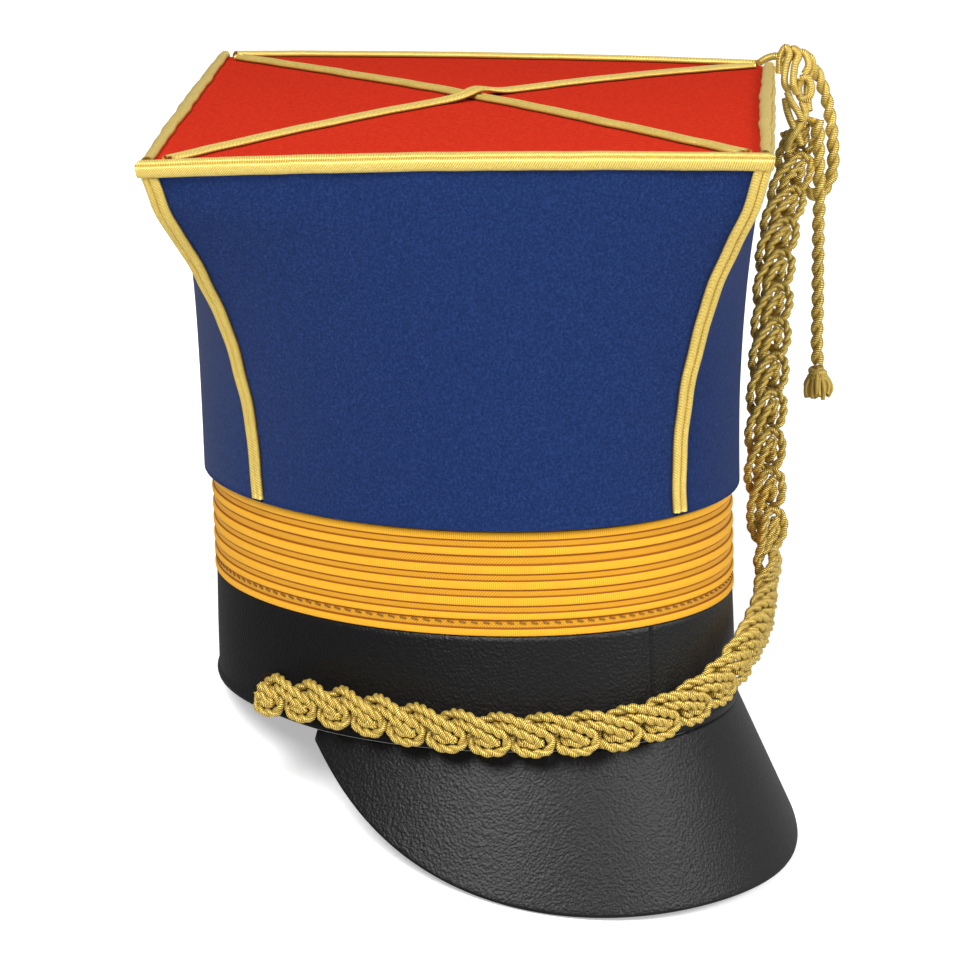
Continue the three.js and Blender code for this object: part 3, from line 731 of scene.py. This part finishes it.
# %% Button
BUTTON_ANGLE, BUTTON_HEIGHT, BUTTON_STAND = np.radians(97), 8.6, 2.1
turned = np.array([
    [0.0, 0.0], [6.6, 0.0], [7.1, 0.3], [7.2, 0.8], [6.9, 1.15], [6.3, 1.2], [5.9, 1.05], [5.4, 1.25],
    [4.2, 1.5], [2.6, 1.7], [1.2, 1.78], [0.0, 1.8],
])
BUTTON_SIDES, NEAR_AXIS = 64, 0.02                           # mm: the tips are small rings, not points
axis = oval(BUTTON_ANGLE, 1.0) - oval(BUTTON_ANGLE, 0.0)
side = unit(np.cross([0.0, 0.0, 1.0], axis))
spin = np.linspace(0, 2 * np.pi, BUTTON_SIDES + 1)[:-1, None, None]
radial = side * np.cos(spin) + np.array([0.0, 0.0, 1.0]) * np.sin(spin)
turned[[0, -1], 0] = NEAR_AXIS
centre = oval(BUTTON_ANGLE, BUTTON_STAND, BUTTON_HEIGHT)
sections = centre + radial * turned[None, :, :1] + axis * turned[None, :, 1:]
faces, corner_rows, corner_columns = grid_faces(BUTTON_SIDES, len(turned), True, False)
first_places = np.arange(BUTTON_SIDES) * len(turned)
ends = [list(first_places), list(first_places[::-1] + len(turned) - 1)]
uv = np.stack([corner_rows, corner_columns], -1).astype(float)
piece = add_piece("bronze_button", sections.reshape(-1, 3), faces, uv, bronze, ends)
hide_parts("side_button")

# %% [markdown]
# ## Cords
#
# Gold bullion cord is stiff, so each cord keeps its shape. A route is a short list of points with a
# smooth curve through them. A strand is a tube along a curve, and a rope is two strands wound round
# each other. Each frame along a curve is carried on from the last one, so a tube never twists.

# %% Curves and tubes


def smooth_path(points, spacing):
    """Centripetal Catmull-Rom curve through the points, resampled at an even spacing."""
    points = np.asarray(points, float)
    guarded = np.concatenate([[2 * points[0] - points[1]], points, [2 * points[-1] - points[-2]]])
    knots = np.concatenate([[0], np.cumsum(np.linalg.norm(np.diff(guarded, axis=0), axis=1) ** 0.5)])
    fine = np.linspace(knots[1], knots[-2], 40 * len(points))
    k = np.clip(np.searchsorted(knots, fine, side="right") - 1, 1, len(knots) - 3)
    t = fine[:, None]
    t0, t1, t2, t3 = (knots[k + shift][:, None] for shift in (-1, 0, 1, 2))
    p0, p1, p2, p3 = (guarded[k + shift] for shift in (-1, 0, 1, 2))
    a = ((t1 - t) * p0 + (t - t0) * p1) / (t1 - t0)
    b = ((t2 - t) * p1 + (t - t1) * p2) / (t2 - t1)
    c = ((t3 - t) * p2 + (t - t2) * p3) / (t3 - t2)
    ab = ((t2 - t) * a + (t - t0) * b) / (t2 - t0)
    bc = ((t3 - t) * b + (t - t1) * c) / (t3 - t1)
    curve = ((t2 - t) * ab + (t - t1) * bc) / (t2 - t1)
    run = lengths(curve)
    even = np.linspace(0, run[-1], max(int(run[-1] / spacing), 4))
    return stack(*(np.interp(even, run, curve[:, axis]) for axis in range(3)))


def carried_frames(centre):
    """Side and out directions along a curve, each the last one made square to the new tangent."""
    tangent = unit(np.gradient(centre, axis=0))
    side = np.empty_like(centre)
    start = np.cross(tangent[0], VIEW_UP)
    last = unit(start) if np.linalg.norm(start) > 0.1 else unit(np.cross(tangent[0], VIEW_RIGHT))
    for step, direction in enumerate(tangent):
        last = unit(last - direction * (last @ direction))
        side[step] = last
    return side, np.cross(tangent, side)


def tube(centre, radius, sides=8):
    """Rings of points round a curve: centre + r (cos a side + sin a out)."""
    side, out = carried_frames(centre)
    angle = np.linspace(0, 2 * np.pi, sides + 1)[:-1, None]
    ring = side[:, None] * np.cos(angle) + out[:, None] * np.sin(angle)
    return centre[:, None] + ring * np.broadcast_to(radius, (len(centre),))[:, None, None]


ROPE_STRAND, ROPE_LAY, ROPE_PITCH, ROPE_WIDTH = 1.42, 1.12, 11.3, 5.0  # mm


def rope(centre, strand=ROPE_STRAND, lay=ROPE_LAY, pitch=ROPE_PITCH):
    """Two tubes wound round a curve, half a turn apart, one turn in each pitch."""
    side, out = carried_frames(centre)
    turn = 2 * np.pi * lengths(centre)[:, None] / pitch
    return [
        tube(centre + lay * (side * np.cos(turn + half) + out * np.sin(turn + half)), strand)
        for half in (0.0, np.pi)
    ]


def join_tubes(name, tubes, replaced=None, material=gilt_cord):
    """Many closed tubes as one piece, each with its own map in millimetres."""
    points, faces, uvs, ends, start = [], [], [], [], 0
    for sections in tubes:
        rows, columns = sections.shape[:2]
        quads, corner_rows, corner_columns = grid_faces(rows, columns, False, True)
        if volume(sections.reshape(-1, 3), quads) < 0:
            sections = sections[:, ::-1]
        u = lengths(sections.mean(axis=1))
        v = lengths(np.concatenate([sections[rows // 2], sections[rows // 2][:1]]))
        points.append(sections.reshape(-1, 3))
        faces.append(quads + start)
        uvs.append(np.stack([u[corner_rows], v[corner_columns]], -1))
        ends.append([start + k for k in range(columns)][::-1])
        ends.append([start + (rows - 1) * columns + k for k in range(columns)])
        start += rows * columns
    piece = add_piece(name, np.concatenate(points), np.concatenate(faces), np.concatenate(uvs),
                      material, ends, attribute=np.ones(start))
    if replaced:
        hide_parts(replaced)
    return piece


# %% [markdown]
# The plaited cord is knotted from one doubled strand of two plies. Each stitch slants over the
# front, turns back round a half loop on one side, and passes behind to start the next. So one stitch
# is a short list of points in the cord's own frame, and the cord is that list repeated.

# %% Plaited cord
PLAIT_ROUTE = [
    [160.2, -9.0, 187.2], [160.2, -9.0, 182.1], [158.0, -10.0, 173.0], [153.7, -12.0, 164.3],
    [147.2, -15.0, 156.4], [140.6, -18.5, 148.9], [133.4, -23.0, 139.9], [126.8, -28.0, 130.2],
    [120.6, -33.0, 120.5], [114.4, -38.0, 110.8], [108.3, -42.8, 101.3], [103.0, -47.0, 91.6],
    [98.6, -50.5, 81.6], [95.0, -53.5, 71.5], [92.0, -56.3, 61.2], [89.2, -59.2, 51.1],
    [85.6, -63.0, 41.0], [77.8, -70.5, 32.6], [62.8, -83.4, 27.6], [47.4, -94.6, 25.4],
    [33.2, -103.2, 23.0], [22.0, -107.9, 19.4], [10.4, -110.6, 15.8], [-4.7, -111.2, 12.2],
    [-17.0, -109.3, 9.9], [-27.6, -105.7, 8.8], [-37.0, -100.9, 8.4], [-45.6, -95.0, 8.4],
    [-53.3, -88.3, 8.5], [-60.2, -80.9, 8.7], [-66.3, -72.7, 9.1], [-71.8, -63.7, 9.7],
    [-76.6, -53.8, 10.6], [-80.8, -43.0, 12.0], [-84.2, -31.2, 12.8], [-87.2, -17.9, 13.2],
    [-89.4, -8.0, 13.2], [-91.3, 1.0, 13.2], [-92.2, 8.0, 13.2],
]
STITCH_LENGTH, PLAIT_WIDTH = 14.2, 12.6                      # mm
PLY_RADIUS, PLY_LAY, PLY_PITCH = 0.98, 0.72, 8.0             # mm, the two plies of a strand
STRAND_OFFSET = 1.62                                         # mm, half the spacing of the doubled strand
# One stitch: share of its length, distance across, distance out.
STITCH = np.array([
    [-0.30, -3.8, 1.0], [-0.05, -3.4, 2.9], [0.25, -1.5, 3.8], [0.52, 0.6, 3.4], [0.72, 2.6, 2.8],
    [0.68, 4.6, 2.9], [0.40, 5.3, 2.9], [0.12, 4.4, 1.8], [0.04, 2.2, -0.4], [0.22, -0.6, -1.7],
    [0.50, -2.9, -1.4],
])
route = smooth_path(PLAIT_ROUTE[::-1], 1.0)
run = lengths(route)
tangent = unit(np.gradient(route, axis=0))
radial = unit(route * [1 / HALF_WIDTH**2, 1 / HALF_LENGTH**2, 0])
blend = np.clip((route[:, 2] - 22) / 40, 0, 1)[:, None] * (route[:, :1] > 40)
facing = radial * (1 - blend) + unit(back * [1, 1, 0.6]) * blend
out = unit(facing - tangent * (facing * tangent).sum(-1, keepdims=True))
across = np.cross(out, tangent) * -1
stitches = int(run[-1] / STITCH_LENGTH)
pitch = run[-1] / stitches


def plait_strand(offset):
    """One strand: the stitch repeated and moved sideways in its plane, laid along the route."""
    local = np.concatenate([STITCH + [k, 0, 0] for k in range(stitches)]) * [pitch, 1, 1]
    local = local[(local[:, 0] > 0) & (local[:, 0] < run[-1])]
    line = smooth_path(local, 0.5)
    line = line + offset * unit(np.cross(unit(np.gradient(line, axis=0)), [0.0, 0.0, 1.0]))
    base, side_at, out_at = (
        stack(*(np.interp(line[:, 0], run, field[:, axis]) for axis in range(3)))
        for field in (route, across, out)
    )
    return base + side_at * line[:, 1:2] + out_at * line[:, 2:3]


plait = join_tubes(
    "plaited_gilt_cord",
    [
        ply for offset in (-STRAND_OFFSET, STRAND_OFFSET)
        for ply in rope(plait_strand(offset), PLY_RADIUS, PLY_LAY, PLY_PITCH)
    ],
    "plaited_cord",
)
print("plait:", stitches, "stitches of", round(pitch, 1), "mm; length", round(run[-1], 1), "mm")

# %% Rope loop and tail
LOOP_ROUTE = [
    [165.2, -13.2, 204.4], [168.4, -13.6, 198.8], [171.4, -14.2, 191.2], [173.2, -14.6, 182.6],
    [173.9, -14.9, 174.2], [173.8, -15.0, 166.4], [172.4, -14.6, 160.4], [169.9, -13.6, 156.8],
    [167.0, -12.4, 155.4], [164.0, -11.2, 156.2], [161.4, -10.8, 158.6],
]
TAIL_ROUTE = [
    [162.2, -18.4, 184.4], [162.4, -18.6, 178.6], [162.2, -18.7, 172.0], [162.2, -18.7, 166.0],
    [162.3, -18.8, 160.0], [162.1, -19.0, 154.0], [161.4, -19.0, 146.0], [161.2, -19.0, 137.0],
    [161.0, -18.9, 127.0], [160.9, -18.8, 117.0], [160.6, -18.6, 107.0], [160.5, -18.5, 98.0],
    [160.8, -18.5, 92.4],
]


loop_line, tail_line = smooth_path(LOOP_ROUTE, 0.5), smooth_path(TAIL_ROUTE, 0.5)
loop = join_tubes("gilt_rope_loop", rope(loop_line), "cord_loop")
tail = join_tubes("gilt_rope_tail", rope(tail_line), "cord_tail")

# %% [markdown]
# The knot at the corner is a bunch of loops of the same cord. Each is a short route in a plane that
# faces out from the corner: across, up and out, from the middle of the bunch.

# %% Corner knot and tail knot
KNOT_CENTRE = np.array([159.8, -9.6, 199.4])
KNOT_STRAND = 1.45
KNOT_LOOPS = [
    [[-6.0, 2.4, -2], [-5.8, 8.3, 0], [-3.9, 11.7, 2], [-2.6, 9.1, 3.5], [-3.7, 5.3, 4.5],
     [-4.5, 1.6, 5], [-4.5, -2.1, 4.5], [-3.0, -4.4, 3]],
    [[-3.4, 6.1, -1], [-2.6, 9.8, 1], [-0.7, 11.1, 2.5], [0.7, 8.3, 4.5], [-0.7, 5.0, 6],
     [-1.3, 0.9, 6.5], [-1.3, -2.9, 6], [0.0, -5.5, 4]],
    [[-0.4, 6.8, 0], [0.7, 9.5, 1.5], [2.6, 9.8, 2.5], [4.1, 7.6, 3], [4.5, 4.6, 3], [3.0, 1.6, 2.5]],
    [[1.5, 0.1, 2], [4.1, 0.1, 3], [5.6, -3.6, 3.5], [4.5, -7.0, 3], [1.9, -7.4, 2],
     [0.7, -4.0, 2.5], [1.5, -0.6, 4]],
    [[-3.4, -5.1, 3], [-1.9, -8.9, 4], [0.4, -12.6, 5], [2.2, -15.6, 4], [3.4, -12.6, 2],
     [2.2, -8.5, 1]],
    [[-4.1, -7.4, 2], [-3.4, -11.9, 3], [-1.9, -16.3, 3.5], [0.4, -20.8, 3], [1.9, -24.6, 2]],
    [[1.9, -16.3, 3.5], [-0.4, -20.1, 4], [-2.6, -23.1, 3], [-3.4, -26.8, 1]],
    [[-14.2, 6.2, -6], [-10.0, 8.4, -3], [-6.5, 8.6, -1], [-4.0, 6.6, 0]],
    [[4.0, 9.0, 1], [5.6, 7.6, 2], [6.2, 4.8, 1], [4.8, 1.0, 0], [4.2, -4.0, 0], [4.8, -12.0, 1]],
]
plane = np.stack([VIEW_RIGHT, VIEW_UP, back])
knots = [smooth_path(KNOT_CENTRE + np.array(points) @ plane, 0.5) for points in KNOT_LOOPS]
corner_bunch = join_tubes("gilt_corner_knot", [tube(line, KNOT_STRAND) for line in knots], "corner_knot")

TUFT_COUNT, TUFT_THREAD, WRAP_THREAD = 34, 0.85, 1.25
GOLDEN_TURN = 0.381966                                       # of a full turn, from one tuft to the next
rng = np.random.default_rng(7)
TUFT_TOP = np.array(TAIL_ROUTE[-1]) + [0, 0, -1.5]
tufts = []
for number in range(TUFT_COUNT):
    turn = 2 * np.pi * number * GOLDEN_TURN
    spread = 1.2 + 4.2 * np.sqrt((number + 0.5) / TUFT_COUNT)
    direction = np.array([np.cos(turn), np.sin(turn), 0.0])
    length = rng.uniform(9.5, 12.2)
    tufts.append(np.stack([
        TUFT_TOP + direction * min(spread, 1.4) * 0.8,
        TUFT_TOP + direction * spread * 0.62 - [0, 0, 3.4],
        TUFT_TOP + direction * spread - [0, 0, 0.68 * length],
        TUFT_TOP + direction * (spread + rng.uniform(-1.8, 0.6)) - [0, 0, length],
    ]))
wraps = []
for height, radius in ((-0.6, 2.5), (-3.0, 2.9)):
    turn = np.linspace(0, 2 * np.pi * 1.15, 12)
    wraps.append(TUFT_TOP + stack(radius * np.cos(turn), radius * np.sin(turn), height - 0.28 * turn))
tail_knot = join_tubes(
    "gilt_tail_knot",
    [tube(smooth_path(line, 0.6), TUFT_THREAD, 6) for line in tufts]
    + [tube(smooth_path(line, 0.5), WRAP_THREAD) for line in wraps],
    "tail_knot",
)

# %% Stitches along the foot of the ribbed band
STITCH_SPACING, STITCH_RUN, STITCH_THREAD = 4.1, 2.2, 0.3    # mm
STITCH_OUT, STITCH_UP = 0.1, 4.6                             # mm, from the band's foot
stitch_count = round(np.pi * (HALF_WIDTH + HALF_LENGTH) / STITCH_SPACING)
half_stitch = np.linspace(-0.5, 0.5, 4) * STITCH_RUN * 2 / (HALF_WIDTH + HALF_LENGTH)
stitch_height = np.array([-0.25, -0.05, 0.05, 0.25])
join_tubes(
    "band_foot_stitches",
    [
        tube(oval(turn + half_stitch, STITCH_OUT, RIBBED_BOTTOM + STITCH_UP + stitch_height),
             STITCH_THREAD, 6)
        for turn in np.linspace(0, 2 * np.pi, stitch_count + 1)[:-1]
    ],
    material=dark_thread,
)

for piece, line, width, far_end, on_it in (
    (plait, route[::-1], PLAIT_WIDTH, "object", [corner_bunch]),
    (loop, loop_line, ROPE_WIDTH, "object", []),
    (tail, tail_line, ROPE_WIDTH, "knot", [tail_knot]),
):
    run_length = lengths(line)[-1] * MM
    path = to_row(line[::2])
    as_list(on_it)
    print(piece.name, round(run_length, 3), "m")

# %% [markdown]
# ## Floor and light
#
# The cap stands on a pale floor under a broad, soft light from the upper left, with a weaker one
# from the right, so that leather and gold have something to reflect. The room is darker on the left,
# and glossy surfaces mirror the room, not the floor.

# %% Floor
floor_material, surface = new_material("pale_matt_floor", Roughness=0.9)
surface.inputs["Base Color"].default_value = (0.93, 0.93, 0.93, 1.0)
surface.inputs["Emission Color"].default_value = (1.0, 1.0, 1.0, 1.0)
surface.inputs["Emission Strength"].default_value = 0.42
FLOOR_HALF = 6.0
floor_mesh = bpy.data.meshes.new("floor")
floor_mesh.from_pydata(
    [(-FLOOR_HALF, -FLOOR_HALF, 0), (FLOOR_HALF, -FLOOR_HALF, 0),
     (FLOOR_HALF, FLOOR_HALF, 0), (-FLOOR_HALF, FLOOR_HALF, 0)], [], [(0, 1, 2, 3)]
)
floor_mesh.materials.append(floor_material)
floor = bpy.data.objects.new("floor", floor_mesh)
bpy.context.scene.collection.objects.link(floor)
floor.visible_glossy = False

# %% Lights
world = bpy.data.worlds.new("studio")
bpy.context.scene.world = world
world.use_nodes = True
background = world.node_tree.nodes["Background"]
background.inputs["Color"].default_value = (1, 1, 1, 1)
view = np.stack([VIEW_RIGHT, VIEW_UP, back]) @ CAP_AXES
toward = add_node(world, "TexCoord").outputs["Generated"]
to_right = add_node(world, "VectorMath", {0: toward, 1: view[0].tolist()}, operation="DOT_PRODUCT")
DIM_SIDE, LIT_SIDE, DIM_LIGHT, ROOM_LIGHT = -0.7, 0.2, 0.14, 0.44
dimmed = add_node(world, "MapRange", {
    "Value": to_right.outputs["Value"], "From Min": DIM_SIDE, "From Max": LIT_SIDE,
    "To Min": DIM_LIGHT, "To Max": ROOM_LIGHT,
})
world.node_tree.links.new(dimmed.outputs["Result"], background.inputs["Strength"])
TARGET = np.array([0.0, 0.0, 0.12])
for name, right, above, near, size, watts in (
    ("key_light", -0.45, 0.8, 1.35, 0.7, 29.0),
    ("fill_light", 1.1, 0.5, 0.8, 0.5, 12.0),
):
    lamp = bpy.data.lights.new(name, "AREA")
    lamp.size, lamp.energy = size, watts
    source = bpy.data.objects.new(name, lamp)
    spot = TARGET + np.array([right, above, near]) @ view
    away_direction = unit(spot - TARGET)
    side = unit(np.cross([0.0, 0.0, 1.0], away_direction))
    place = np.eye(4)
    place[:3, :3] = np.stack([side, np.cross(away_direction, side), away_direction]).T
    place[:3, 3] = spot
    source.matrix_world = Matrix(place.tolist())
    bpy.context.scene.collection.objects.link(source)
bpy.context.scene.view_settings.view_transform = "Standard"
